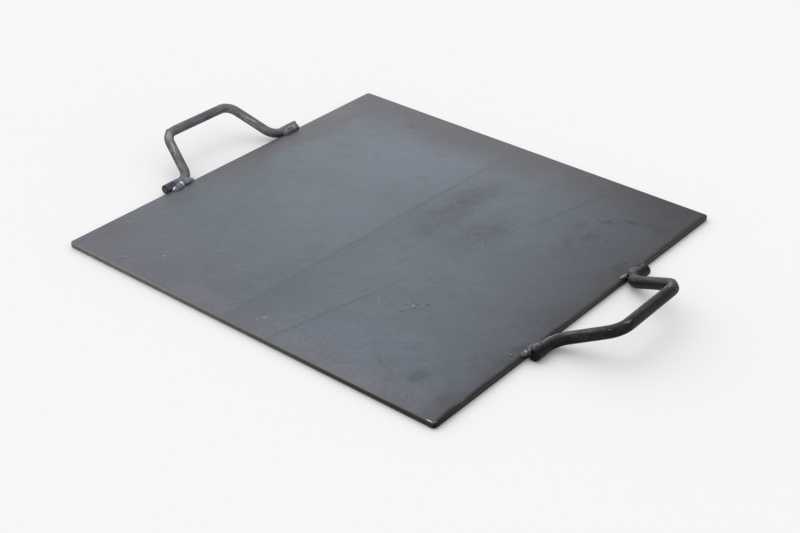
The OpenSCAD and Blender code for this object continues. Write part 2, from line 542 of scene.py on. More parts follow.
def tint(red, green, blue):
    """A colour as it looks on a screen, from 0 to 255, turned into the light that it gives."""
    parts = []
    for part in (red, green, blue):
        share = part / 255
        parts.append(share / 12.92 if share <= 0.04045 else ((share + 0.055) / 1.055) ** 2.4)
    return (*parts, 1.0)


def palette(**levels):
    """Named colours, each from its red, green and blue as they look on a screen."""
    return {name: tint(*level) for name, level in levels.items()}


class Draughtsman:
    """Draws a node tree. Each method adds nodes and hands back what they put out."""

    def __init__(self, tree):
        self.tree = tree

    def node(self, kind, wires=(), **settings):
        new = self.tree.nodes.new(kind)
        for name, value in settings.items():
            setattr(new, name, value)
        for key, value in dict(wires).items():
            self.wire(value, new.inputs[key])
        return new

    def wire(self, value, socket):
        if isinstance(value, bpy.types.NodeSocket):
            self.tree.links.new(value, socket)
        else:
            socket.default_value = value

    def place(self):
        return self.node("ShaderNodeTexCoord").outputs["Object"]

    def streaked(self, place, length, width, turn=0):
        """A place measured in streaks of this length and width, in millimetres, lying at a turn."""
        return self.node("ShaderNodeMapping", {
            "Vector": place, "Rotation": (0, 0, math.radians(turn)),
            "Scale": (length * MM, width * MM, length * MM)}, vector_type="TEXTURE").outputs[0]

    def noise(self, place, scale, detail, rough, warp=0.0):
        """Noise about 0.5, with this many waves to a unit of the place."""
        return self.node("ShaderNodeTexNoise", {
            "Vector": place, "Scale": scale, "Detail": detail, "Roughness": rough,
            "Distortion": warp}).outputs["Fac"]

    def wobbled(self, place, scale, amount):
        """A place pushed about by noise, so that a mark laid on it gets a ragged outline."""
        drift = self.node("ShaderNodeTexNoise", {
            "Vector": place, "Scale": scale, "Detail": 4.0, "Roughness": 0.6}).outputs["Color"]
        drift = self.node("ShaderNodeVectorMath", {0: drift, 1: (0.5, 0.5, 0.5)},
                          operation="SUBTRACT").outputs[0]
        return self.node("ShaderNodeVectorMath", {0: drift, 1: (amount, amount, 0), 2: place},
                         operation="MULTIPLY_ADD").outputs[0]

    def soft_step(self, value, low, high):
        """From 0 at low to 1 at high, which may be the smaller of the two."""
        return self.node("ShaderNodeMapRange", {
            "Value": value, "From Min": low, "From Max": high},
            interpolation_type="SMOOTHSTEP").outputs["Result"]

    def ramp(self, value, low, high):
        """A soft step between two distances in millimetres."""
        return self.soft_step(value, low * MM, high * MM)

    def spread(self, value, low, high):
        """A value from 0 to 1, spread from low to high."""
        return self.node("ShaderNodeMapRange", {
            "Value": value, "To Min": low, "To Max": high}).outputs["Result"]

    def maths(self, operation, a, b=0.0, clamp=False):
        return self.node("ShaderNodeMath", {0: a, 1: b}, operation=operation,
                         use_clamp=clamp).outputs[0]

    def times(self, value, *factors):
        for factor in factors:
            value = self.maths("MULTIPLY", value, factor)
        return value

    def plus(self, a, b):
        return self.maths("ADD", a, b)

    def minus(self, a, b):
        return self.maths("SUBTRACT", a, b)

    def larger(self, a, b):
        return self.maths("MAXIMUM", a, b)

    def blend(self, mask, below, above, mode="MIX"):
        """One colour laid over another where the mask lets it."""
        return self.node("ShaderNodeMix", {0: mask, 6: below, 7: above}, data_type="RGBA",
                         blend_type=mode).outputs[2]

    def shaded(self, colour, level):
        """A colour made lighter or darker by a level about 1."""
        return self.blend(1.0, colour, level, "MULTIPLY")

    def parts(self, vector):
        return self.node("ShaderNodeSeparateXYZ", {0: vector}).outputs

    def normal(self):
        return self.parts(self.node("ShaderNodeNewGeometry").outputs["Normal"])

    def bump(self, height, distance):
        """Relief that stands up to a distance in millimetres."""
        return self.node("ShaderNodeBump", {
            "Height": height, "Distance": distance * MM, "Strength": 1.0}).outputs[0]

    def group(self, tree, **values):
        new = self.node("ShaderNodeGroup", node_tree=tree)
        for key, value in values.items():
            self.wire(value, new.inputs[key])
        return new.outputs


def new_group(name, inputs, outputs):
    """A node group with its sockets, a pen to draw it with, and its inner ends."""
    tree = bpy.data.node_groups.new(name, "ShaderNodeTree")
    for title, kind, value in inputs:
        socket = tree.interface.new_socket(title, in_out="INPUT", socket_type="NodeSocket" + kind)
        socket.default_value = value
    for title, kind in outputs:
        tree.interface.new_socket(title, in_out="OUTPUT", socket_type="NodeSocket" + kind)
    pen = Draughtsman(tree)
    return tree, pen, pen.node("NodeGroupInput").outputs, pen.node("NodeGroupOutput").inputs


def make_smudge_group():
    """A soft-edged oval mark on the plate, at a middle, turned, with two half sizes."""
    tree, pen, given, out = new_group(
        "smudge",
        [("Place", "Vector", (0, 0, 0)), ("Middle", "Vector", (0, 0, 0)), ("Turn", "Float", 0.0),
         ("Half", "Vector", (0.01, 0.01, 1.0)), ("Core", "Float", 0.2)],
        [("Mask", "Float")])
    away = pen.node("ShaderNodeVectorMath", {0: given["Place"], 1: given["Middle"]},
                    operation="SUBTRACT").outputs[0]
    turned = pen.node("ShaderNodeVectorRotate", {"Vector": away, "Angle": given["Turn"]},
                      rotation_type="Z_AXIS", invert=True).outputs[0]
    share = pen.node("ShaderNodeVectorMath", {0: turned, 1: given["Half"]},
                     operation="DIVIDE").outputs[0]
    far = pen.node("ShaderNodeVectorMath", {0: share}, operation="LENGTH").outputs["Value"]
    mask = pen.node("ShaderNodeMapRange", {
        "Value": far, "From Min": 1.0, "From Max": given["Core"]},
        interpolation_type="SMOOTHSTEP").outputs["Result"]
    pen.wire(mask, out["Mask"])
    return tree


def make_scale_group():
    """Mill scale: slow clouds, and the height of the fine grain."""
    tree, pen, given, out = new_group(
        "mill_scale_grain",
        [("Place", "Vector", (0, 0, 0)), ("Cloud Size", "Float", 12.0), ("Grain Size", "Float", 700.0)],
        [("Cloud", "Float"), ("Height", "Float")])
    cloud = pen.noise(given["Place"], given["Cloud Size"], 5.0, 0.55, 0.3)
    pen.wire(pen.soft_step(cloud, 0.3, 0.7), out["Cloud"])
    grain = pen.noise(given["Place"], given["Grain Size"], 3.0, 0.6)
    swell = pen.noise(given["Place"], pen.times(given["Grain Size"], 0.3), 2.0, 0.5)
    pen.wire(pen.plus(pen.times(grain, 0.4), pen.times(swell, 0.6)), out["Height"])
    return tree


SMUDGE = make_smudge_group()
SCALE_GRAIN = make_scale_group()
# Half height of a mark, in metres, so tall that the height of a place doesn't matter
MARK_HEIGHT = 1.0


def new_finish(name):
    """A new material, a pen to draw it with, and its shader's inputs."""
    material = bpy.data.materials.new(name)
    material.use_nodes = True
    tree = material.node_tree
    return material, Draughtsman(tree), tree.nodes["Principled BSDF"].inputs


def zone(pen, place, x, y, half_length, half_width, turn=0.0, core=0.0):
    """A soft oval area, in millimetres and degrees, at its full strength inside its core."""
    return pen.group(SMUDGE, **{
        "Place": place, "Middle": (x * MM, y * MM, PLATE_T * MM), "Turn": math.radians(turn),
        "Half": (half_length * MM, half_width * MM, MARK_HEIGHT), "Core": core})["Mask"]


def lay_marks(pen, place, marks, core):
    """Adds up the marks' masks, each at its strength."""
    total = None
    for x, y, half_length, half_width, turn, strength in marks:
        mask = pen.times(zone(pen, place, x, y, half_length, half_width, turn, core), strength)
        total = mask if total is None else pen.maths("ADD", total, mask, clamp=True)
    return total


# Finish of the plate

# Place of the longer drawn line at the plate's middle, in millimetres, and how far it leans to +X
# for each step to +Y
LONG_LINE_X = -9.0
LONG_LINE_LEAN = 0.035
# Colours of the sheet, its rim, its marks and its cut edges, with painted shade at the edges and
# painted highlights on arrises and the front corner
SHEET = palette(
    scale_dark=(78.5, 85.5, 93.5), scale_light=(84.5, 90.5, 98.5), pale=(90, 97, 106),
    dusky=(76, 78, 87), left_rim=(81, 81.5, 85.5), front_rim_left=(83, 81.5, 87),
    front_rim_right=(92, 90, 97), freckle=(68, 64, 74), rear_rim=(78, 78, 82.5),
    rubbed_rim=(104, 102, 106), left_corner=(70, 70.5, 75), right_end=(62, 65, 71),
    far_corner=(46, 45, 47), right_rim=(60, 59, 61), fleck=(58, 60, 64), wisp=(58, 60, 65),
    crack=(52, 54, 58), olive=(81, 82, 75), stain=(50, 49, 49), blue_spot=(60, 67, 72),
    drag=(66, 70, 76), line=(50, 50, 51), pit=(33, 33, 33), scuff=(141, 144, 149),
    lip=(29, 29, 28), cut_left=(106, 103, 97), cut_right=(48, 46, 44), arris_left=(142, 139, 133),
    arris_right=(62, 60, 58), black_cut=(12, 12, 12), worn_black_cut=(26, 26, 25),
    sheared_front=(70, 68, 66), sheared_rear=(98, 97, 95), dark_arris_front=(28, 28, 27),
    dark_arris_rear=(42, 42, 41), clean_arris=(62, 61, 60), glint=(196, 195, 192))

# Areas of the sheet with a colour of their own, in millimetres and degrees:
# x, y, half length, half width and, where it isn't 0, the turn of the length from +X
AREAS = dict(
    pale_far_half=(-52, 90, 130, 100, 30), pale_middle=(-45, -8, 95, 70),
    pale_front=(70, -126, 75, 56, 10), dusky_front=(-100, -150, 150, 95, 10),
    left_corner=(-165, -130, 60, 90), far_corner=(160, 165, 150, 85), dots=(46, 34, 30, 44),
    fainter_dots=(15, 50, 20, 60), specks=(110, 86, 45, 55, 30), olive=(12, 82, 34, 13, 84),
    blue_spot=(117.2, -122.2, 9.6, 6.2, 88), clean_edge=(152, 8, 30, 42))

# Marks on the cooking face, in millimetres and degrees:
# x, y, half length, half width, turn of the length from +X, strength
DARK_MARKS = [
    (15.5, 52, 62, 21, 88, 0.32),
    (16, 8, 22, 12, 75, 0.16),
    (48, 34, 40, 19, 80, 0.23),
    (104, 99, 9, 6, 15, 0.40),
    (118, 109, 11, 6, 25, 0.55),
    (106, 74, 14, 6, 82, 0.35),
    (136, 112, 9, 12, 60, 0.40),
    (92, 82, 10, 7, 60, 0.25),
    (100, 58, 12, 8, 120, 0.22),
    (104, 45, 9, 3, 50, 0.25),
    (98, -104, 8, 5, 30, 0.15),
    (-89, 128, 6, 5, 0, 0.30),
    (-30, 68, 6, 5, 60, 0.25),
    (-103, 74, 14, 3, 30, 0.20),
    (-91, 60, 10, 3, 45, 0.16),
    (-118, 30, 16, 3, 20, 0.16),
    (-43, 107, 5, 4, 30, 0.18),
    (147, -62, 15, 9, 88, 0.55),
    (146, 52, 15, 9, 88, 0.45),
]
# Small dark pits
PITS = [
    (67.6, -76.4, 2.6, 1.4, 70, 0.45),
    (64.6, -68.5, 1.8, 1.2, 40, 0.40),
    (66.3, -63.7, 1.8, 1.1, 50, 0.55),
    (69.9, -64.0, 1.6, 1.2, 20, 0.60),
    (70.8, -68.4, 1.9, 1.2, 60, 0.55),
    (74.6, -60.0, 3.0, 1.3, 45, 0.55),
    (141.7, -20.6, 1.7, 1.2, 0, 0.60),
    (137.3, -31.5, 1.9, 1.2, 30, 0.60),
    (143.5, -44.6, 1.7, 1.2, 40, 0.55),
    (149.5, -45.0, 2.2, 1.3, 70, 0.60),
    (145.6, -37.0, 1.4, 1.0, 10, 0.40),
    (133.0, -88.0, 2.0, 1.4, 70, 0.45),
    (146.5, -79.0, 1.6, 1.2, 40, 0.60),
    (139.0, 30.0, 1.6, 1.2, 0, 0.40),
]
# Two straight lines across the sheet, the second broken in the middle, then a faint crack, a line
# along the left edge and small strokes near the front corner
DARK_LINES = [
    (-8.4, 0, 200, 1.9, 88.0, 0.17),
    (-5.9, 72, 85, 2.0, 88.0, 0.17),
    (77.0, 103, 66, 2.2, 78.4, 0.40),
    (55.0, 0, 34, 1.8, 79.0, 0.13),
    (33.5, -104, 104, 2.1, 79.0, 0.31),
    (127, -46, 30, 1.2, 100, 0.16),
    (-140, -122, 36, 2.0, 85.7, 0.20),
    (124.1, -141.3, 4.6, 1.1, 131, 0.32),
    (126.0, -139.6, 4.6, 1.1, 124, 0.32),
    (105.0, -136.1, 4.8, 2.2, 0, 0.34),
]
# Pale scuffs and fine scratches
PALE_MARKS = [
    (58.8, 18.4, 12, 0.6, 116, 0.14),
    (47.6, -74.6, 6, 0.6, 129, 0.16),
    (-92.2, -124.2, 2.0, 0.9, 118, 0.45),
    (-94.6, -119.8, 1.2, 0.8, 60, 0.35),
    (-110.5, -141.1, 1.5, 0.9, 30, 0.40),
    (-74.7, -66.9, 2.0, 1.3, 40, 0.30),
    (-46.5, -103.2, 1.6, 1.0, 110, 0.30),
    (5.4, -138.7, 1.6, 0.7, 70, 0.32),
    (7.1, -134.4, 3.2, 0.75, 76, 0.42),
    (8.5, -135.6, 2.0, 0.6, 72, 0.30),
    (-135.8, -84.9, 1.5, 1.0, 30, 0.30),
    (-143.6, -109.5, 1.5, 1.0, 40, 0.25),
    (132, -9, 2.0, 0.7, 130, 0.12),
    (60, 50, 6, 0.5, 100, 0.10),
    (68.4, -66.2, 1.5, 1.0, 50, 0.55),
]
# Painted highlights on bare steel at the front corner
CORNER_GLINTS = [
    (147.7, -151.2, 3.2, 0.5, 0, 0.85),
    (150.7, -149.8, 1.4, 1.0, 45, 0.16),
]
# Paler areas along the rim
PALE_RIM = [
    (-42, -142, 32, 14, 0, 0.30),
    (93, -146, 34, 14, 0, 0.38),
    (-146, 113, 16, 24, 0, 0.26),
    (124, -136, 19, 14, 0, 0.26),
]


class Sheet:
    """Places on the plate, and the noises and areas that more than one of its layers use."""

    def __init__(self, pen):
        self.pen = pen
        self.place = pen.place()
        self.x, self.y, self.z = pen.parts(self.place)
        self.nx, _, self.nz = pen.normal()
        self.top = pen.soft_step(self.nz, 0.6, 0.95)
        self.patchy = pen.noise(self.place, 34.0, 6.0, 0.6)
        self.wander = pen.noise(self.place, 22.0, 4.0, 0.55)
        self.mottle = pen.noise(self.place, 95.0, 6.0, 0.66)
        self.broken = pen.soft_step(pen.noise(self.place, 130.0, 6.0, 0.72), 0.3, 0.66)
        self.ragged = pen.wobbled(self.place, 45.0, 0.022)
        # How far to the right of the longer drawn line a place lies
        leaning = pen.times(self.y, LONG_LINE_LEAN)
        self.past_line = pen.minus(pen.minus(self.x, LONG_LINE_X * MM), leaning)
        # Along the right-hand edge: the rear half, and the stretch between the feet, where the painted
        # shade at the edge is lighter
        self.rearward = pen.ramp(self.y, 0, 120)
        self.cleaner = zone(pen, self.place, *AREAS["clean_edge"])

    def area(self, name):
        """One of the named areas, with a ragged outline."""
        return zone(self.pen, self.ragged, *AREAS[name])


def scale_colour(pen, sheet, cloud):
    """Blue-grey scale, paler over the middle of the far half and along the front."""
    colour = pen.blend(cloud, SHEET["scale_dark"], SHEET["scale_light"])
    pale = pen.larger(sheet.area("pale_far_half"), pen.times(sheet.area("pale_middle"), 0.5))
    before_line = pen.ramp(sheet.past_line, 2, -1)
    pale = pen.times(pale, pen.spread(before_line, 0.7, 1.0))
    pale = pen.larger(pale, pen.times(sheet.area("pale_front"), 0.5))
    colour = pen.blend(pale, colour, SHEET["pale"])
    dusky = pen.times(sheet.area("dusky_front"), 0.75)
    return pen.blend(dusky, colour, SHEET["dusky"])


def cool_rim(pen, sheet, colour):
    """Greyer bands where the sheet's rim cooled first, and a darker right-hand end."""
    x, y = sheet.x, sheet.y
    shift = pen.times(pen.minus(sheet.wander, 0.5), 50 * MM)
    left = pen.times(pen.ramp(pen.minus(shift, x), 122, 138),
                     pen.spread(pen.ramp(y, -50, 20), 0.55, 1.0))
    colour = pen.blend(left, colour, SHEET["left_rim"])
    front = pen.times(pen.ramp(pen.minus(shift, y), 124, 152), 0.6)
    front_rim = pen.blend(pen.ramp(x, -80, 50), SHEET["front_rim_left"], SHEET["front_rim_right"])
    colour = pen.blend(front, colour, front_rim)
    freckles = pen.soft_step(pen.noise(sheet.place, 300.0, 4.0, 0.66), 0.5, 0.66)
    colour = pen.blend(pen.times(front, freckles, 0.55), colour, SHEET["freckle"])
    rear = pen.ramp(pen.plus(y, shift), 98, 145)
    colour = pen.blend(rear, colour, SHEET["rear_rim"])
    colour = pen.blend(lay_marks(pen, sheet.place, PALE_RIM, 0.0), colour, SHEET["rubbed_rim"])
    left_corner = pen.times(sheet.area("left_corner"), 0.5)
    colour = pen.blend(left_corner, colour, SHEET["left_corner"])
    right = pen.times(pen.ramp(x, 52, 160), pen.spread(pen.ramp(y, -160, 60), 0.2, 1.0))
    colour = pen.blend(right, colour, SHEET["right_end"])
    far_corner = pen.times(sheet.area("far_corner"), 0.9)
    colour = pen.blend(far_corner, colour, SHEET["far_corner"])
    right_rim = pen.times(pen.ramp(pen.plus(x, shift), 132, 152),
                          pen.spread(pen.ramp(y, -150, -110), 0.52, 0.75))
    return pen.blend(right_rim, colour, SHEET["right_rim"])


def mottle_scale(pen, sheet, colour):
    """Mottling of the scale, in patches and in fine flecks."""
    colour = pen.shaded(colour, pen.spread(sheet.patchy, 0.95, 1.05))
    colour = pen.shaded(colour, pen.spread(sheet.mottle, 0.81, 1.19))
    flecks = pen.soft_step(pen.noise(sheet.place, 430.0, 4.0, 0.65), 0.56, 0.74)
    colour = pen.blend(pen.times(flecks, 0.42), colour, SHEET["fleck"])
    sheen = pen.noise(pen.streaked(sheet.place, 4.0, 1.8, 42), 1.0, 5.0, 0.75)
    return pen.shaded(colour, pen.spread(sheen, 0.82, 1.18))


def smear_scale(pen, sheet, colour):
    """Smears along the way the sheet was rolled, and fine crooked cracks in the scale."""
    smears = pen.noise(pen.streaked(sheet.ragged, 26, 3.0, 76), 1.0, 5.0, 0.62)
    colour = pen.shaded(colour, pen.spread(smears, 0.87, 1.13))
    wiped = pen.noise(pen.streaked(sheet.ragged, 15, 2.6, 34), 1.0, 4.0, 0.62)
    colour = pen.shaded(colour, pen.spread(wiped, 0.86, 1.14))
    wisps = pen.soft_step(smears, 0.57, 0.74)
    colour = pen.blend(pen.times(wisps, 0.16), colour, SHEET["wisp"])
    netting = pen.node("ShaderNodeTexVoronoi", {"Vector": sheet.ragged, "Scale": 20.0},
                       feature="DISTANCE_TO_EDGE").outputs["Distance"]
    cracks = pen.times(pen.soft_step(netting, 0.024, 0.006), pen.soft_step(sheet.wander, 0.50, 0.60),
                       pen.soft_step(sheet.mottle, 0.44, 0.58))
    return pen.blend(pen.times(cracks, 0.17), colour, SHEET["crack"])


def face_stains(pen, sheet):
    """How far stains, dots and specks of burnt scale cover the cooking face."""
    stains = pen.times(lay_marks(pen, sheet.ragged, DARK_MARKS, 0.05),
                       pen.spread(sheet.broken, 1.3, 0.45))
    dotting = pen.noise(pen.streaked(sheet.place, 4.6, 3.0, 45), 1.0, 5.0, 0.7)
    dotted = pen.larger(sheet.area("dots"), pen.times(sheet.area("fainter_dots"), 0.6))
    stains = pen.plus(stains, pen.times(dotted, pen.soft_step(dotting, 0.48, 0.66), 0.22))
    specks = pen.soft_step(pen.noise(sheet.place, 330.0, 3.0, 0.62), 0.55, 0.65)
    stains = pen.plus(stains, pen.times(sheet.area("specks"), specks, 0.36))
    return pen.maths("MULTIPLY", stains, sheet.top, clamp=True)


def stain_face(pen, sheet, colour, stains):
    """An olive haze, the dark stains, a blue-grey spot, and the shade along the longer line."""
    olive = pen.times(sheet.area("olive"), 0.3, sheet.top)
    colour = pen.blend(olive, colour, SHEET["olive"])
    colour = pen.blend(stains, colour, SHEET["stain"])
    blotted = pen.wobbled(sheet.place, 150.0, 0.006)
    blue_spot = pen.times(zone(pen, blotted, *AREAS["blue_spot"], core=0.5),
                          pen.spread(sheet.broken, 0.72, 0.34), sheet.top)
    colour = pen.blend(blue_spot, colour, SHEET["blue_spot"])
    drag = pen.times(pen.ramp(sheet.past_line, -0.8, 1), pen.ramp(sheet.past_line, 40, 3),
                     pen.spread(pen.ramp(sheet.y, 120, -130), 0.08, 0.28), sheet.top)
    return pen.blend(drag, colour, SHEET["drag"])


def mark_face(pen, sheet, colour):
    """Drawn lines, pits, scuffs and hair scratches."""
    lines = pen.times(lay_marks(pen, sheet.place, DARK_LINES, 0.1), pen.spread(sheet.broken, 1.2, 0.5))
    lines = pen.maths("MULTIPLY", lines, sheet.top, clamp=True)
    colour = pen.blend(lines, colour, SHEET["line"])
    pits = pen.times(lay_marks(pen, sheet.place, PITS, 0.1), sheet.top)
    colour = pen.blend(pits, colour, SHEET["pit"])
    scuffs = pen.times(lay_marks(pen, sheet.place, PALE_MARKS, 0.2), sheet.top)
    hairs = pen.soft_step(pen.noise(pen.streaked(sheet.place, 38, 1.1, 55), 1.0, 2.0, 0.5), 0.66, 0.76)
    scuffs = pen.larger(scuffs, pen.times(hairs, 0.10))
    return pen.blend(scuffs, colour, SHEET["scuff"])


def darken_lip(pen, sheet, colour):
    """The last few millimetres before the right-hand edge turn dark: painted shade where the sheet
    rolls down over the edge.
    """
    fray = pen.times(pen.minus(pen.noise(sheet.place, 75.0, 4.0, 0.6), 0.5), 5 * MM)
    toward_corner = pen.times(pen.ramp(sheet.y, -122, -140), 0.6)
    widening = pen.times(pen.larger(sheet.rearward, toward_corner), 1 * MM)
    lip = pen.ramp(pen.plus(pen.plus(sheet.x, fray), widening), 148.5, 151.6)
    lip = pen.times(lip, pen.spread(sheet.cleaner, 1.0, 0.45), pen.spread(sheet.rearward, 1.0, 0.82))
    return pen.blend(lip, colour, SHEET["lip"])


def front_and_rear_cut(pen, sheet, nicked):
    """Cut faces at the front and rear: olive-grey, darkened as painted shade, more so to the right,
    with paler arrises as a painted highlight.
    """
    rightward = pen.ramp(sheet.x, -120, 160)
    cut = pen.blend(rightward, SHEET["cut_left"], SHEET["cut_right"])
    cut = pen.shaded(cut, pen.spread(nicked, 0.55, 1.45))
    arris = pen.blend(rightward, SHEET["arris_left"], SHEET["arris_right"])
    return pen.blend(pen.soft_step(sheet.nz, 0.15, 0.6), cut, arris)


def handle_side_cut(pen, sheet, nicked):
    """Cut faces beside the handles: black as painted shade, with a paler band, the shear's burnished
    zone painted with the reflection it catches, and a dark arris, painted shade that is lighter between
    the feet.
    """
    cut = pen.blend(sheet.patchy, SHEET["black_cut"], SHEET["worn_black_cut"])
    band = pen.ramp(pen.minus(sheet.z, pen.times(sheet.rearward, 0.4 * MM)), 2.0, 3.0)
    sheared = pen.times(band, pen.ramp(sheet.y, -148, -122), pen.spread(nicked, 0.5, 1.3))
    bright = pen.blend(sheet.rearward, SHEET["sheared_front"], SHEET["sheared_rear"])
    cut = pen.blend(sheared, cut, bright)
    arris = pen.blend(sheet.rearward, SHEET["dark_arris_front"], SHEET["dark_arris_rear"])
    arris = pen.blend(sheet.cleaner, arris, SHEET["clean_arris"])
    return pen.blend(pen.soft_step(sheet.nz, 0.6, 0.9), cut, arris)


def shear_edges(pen, sheet, colour):
    """The cut faces all round, their painted shade carried over the front edge near the corner, and the
    corner's painted highlights.
    """
    nicked = pen.noise(pen.streaked(sheet.place, 7, 7), 1.0, 5.0, 0.7)
    toward_handles = pen.soft_step(pen.maths("ABSOLUTE", sheet.nx), 0.3, 0.7)
    cut = pen.blend(toward_handles, front_and_rear_cut(pen, sheet, nicked),
                    handle_side_cut(pen, sheet, nicked))
    off_flat = pen.soft_step(pen.maths("ABSOLUTE", sheet.nz), 0.97, 0.8)
    # Near the front corner the cut face's painted shade reaches over the edge onto the top
    worn = pen.times(pen.ramp(sheet.x, 105, 130), pen.ramp(sheet.y, -151.1, -151.8))
    colour = pen.blend(pen.larger(off_flat, worn), colour, cut)
    # Painted highlights on the bare steel at the front corner
    glints = pen.times(lay_marks(pen, sheet.place, CORNER_GLINTS, 0.3), sheet.top)
    return pen.blend(glints, colour, SHEET["glint"])


def make_plate_finish():
    """Mill scale on a sheared sheet, layer over layer."""
    material, pen, shader = new_finish("mill_scale_sheet")
    sheet = Sheet(pen)
    scale = pen.group(SCALE_GRAIN, **{"Place": sheet.place, "Cloud Size": 14.0, "Grain Size": 900.0})
    stains = face_stains(pen, sheet)
    colour = scale_colour(pen, sheet, scale["Cloud"])
    colour = cool_rim(pen, sheet, colour)
    colour = mottle_scale(pen, sheet, colour)
    colour = smear_scale(pen, sheet, colour)
    colour = stain_face(pen, sheet, colour, stains)
    colour = mark_face(pen, sheet, colour)
    colour = darken_lip(pen, sheet, colour)
    colour = shear_edges(pen, sheet, colour)
    pen.wire(colour, shader["Base Color"])
    shader["Metallic"].default_value = 0.85
    dull = pen.plus(pen.spread(sheet.mottle, 0.36, 0.5), pen.times(stains, 0.12))
    pen.wire(dull, shader["Roughness"])
    pen.wire(pen.bump(scale["Height"], 0.04), shader["Normal"])
    return material


# Finish of the bars

# The two bars are the same black steel: the far bar's colours are painted lighter for the light it
# catches, and the near bar's darker for its shade. Scale, dark and light, its underside, painted darker
# as shade, rubbed steel that also paints the light along the top, bare steel that also paints
# highlights, and the sawn ends, painted dark as shade round the outside, and in the middle
GREY_BAR = palette(
    dark=(86, 87, 89), light=(111, 112, 115), under=(63, 68, 79), rubbed=(132, 132, 134),
    bare=(162, 161, 163), end=(38, 39, 40), heart=(112, 112, 112))
BLACK_BAR = palette(
    dark=(30, 30, 29), light=(44, 44, 42), under=(21, 21, 21), rubbed=(86, 86, 84),
    bare=(150, 150, 148), end=(28, 28, 28), heart=(34, 34, 34))

# Marks on the bars, in millimetres and degrees: run along the bar, distance round it from its
# top, half length, half width, turn from the bar's line, strength
# Pale spots on the near bar: rubbed bare steel, and painted highlights along the top and beside the
# dents
RIGHT_BAR_RUBS = [
    (17.2, 0.4, 9.0, 0.8, -2, 0.8),
    (34.8, 1.9, 12.0, 1.3, 0, 0.28),
    (45.0, 2.6, 9.0, 1.1, 1, 0.25),
    (52.9, 2.6, 2.0, 0.5, 8, 0.75),
    (56.5, 3.5, 1.5, 0.5, 20, 0.75),
    (65.8, 3.1, 3.6, 1.0, 13, 0.55),
    (82.2, 0.6, 13.0, 0.6, -3, 0.25),
    (104.1, 0.2, 12.0, 0.6, -2, 0.25),
    (112.9, -0.3, 3.4, 0.65, 7, 0.9),
    (117.5, 0.5, 3.0, 0.65, 12, 0.9),
    (114.9, 2.2, 2.2, 0.6, 6, 0.7),
    (118.0, 2.4, 1.6, 0.45, 60, 0.50),
    (117.0, 3.9, 1.6, 0.45, 60, 0.55),
    (116.6, 5.8, 1.6, 0.45, 60, 0.55),
    (115.0, 7.6, 1.4, 0.45, 60, 0.45),
    (142.4, -0.4, 12.0, 0.9, 0, 0.40),
    (156.0, 1.0, 8.0, 1.6, 0, 0.30),
    (180.6, -0.4, 2.4, 1.6, 40, 0.30),
]
# Darker patches on the near bar; the narrow one beside the dents is painted shade
RIGHT_BAR_SMUTS = [
    (3.0, 4.0, 10.0, 9.0, 0, 0.9),
    (60.5, 1.0, 3.2, 1.4, 10, 0.40),
    (92.0, 0.4, 26.0, 3.4, 0, 0.55),
    (172.0, 2.0, 7.0, 7.0, 0, 0.9),
    (180.0, 2.0, 8.0, 8.0, 0, 0.7),
    (118.5, 3.2, 3.0, 0.5, 30, 0.50),
]
# Pale spots on the far bar: rubbed bare steel, and painted highlights along the top and beside the dent
# at the bend
LEFT_BAR_RUBS = [
    (43.4, 2.1, 9.0, 1.1, -9, 0.85),
    (50.5, 1.3, 6.0, 1.0, -3, 0.75),
    (32.8, 3.1, 6.0, 0.8, 0, 0.50),
    (57.5, 0.8, 6.5, 3.2, 10, 0.95),
    (123.0, -4.4, 9.0, 2.4, 0, 0.28),
    (138.1, -2.2, 3.2, 1.2, 0, 0.85),
    (142.8, -1.8, 4.2, 1.5, 6, 1.0),
    (145.1, -4.9, 3.6, 1.4, -6, 1.0),
    (150.5, -3.2, 6.0, 1.2, 3, 0.45),
    (134.0, -2.6, 6.0, 1.0, 0, 0.65),
    (141.0, -4.6, 11.0, 1.8, 0, 0.50),
    (152.0, -2.0, 4.0, 0.8, 5, 0.25),
]
# Darker patches on the far bar; the narrow one across the dent at the bend is painted shade
LEFT_BAR_SMUTS = [
    (4.0, 1.0, 11.0, 11.0, 0, 1.0),
    (22.0, 2.0, 10.0, 5.0, 0, 0.45),
    (62.2, 2.6, 0.8, 4.0, 20, 0.55),
    (35.1, -0.6, 11.0, 0.8, -2, 0.45),
    (92.0, 1.0, 28.0, 5.0, 0, 0.45),
    (162.0, -3.5, 8.0, 4.5, 0, 0.60),
    (175.0, 0.5, 11.0, 6.0, 0, 0.45),
]


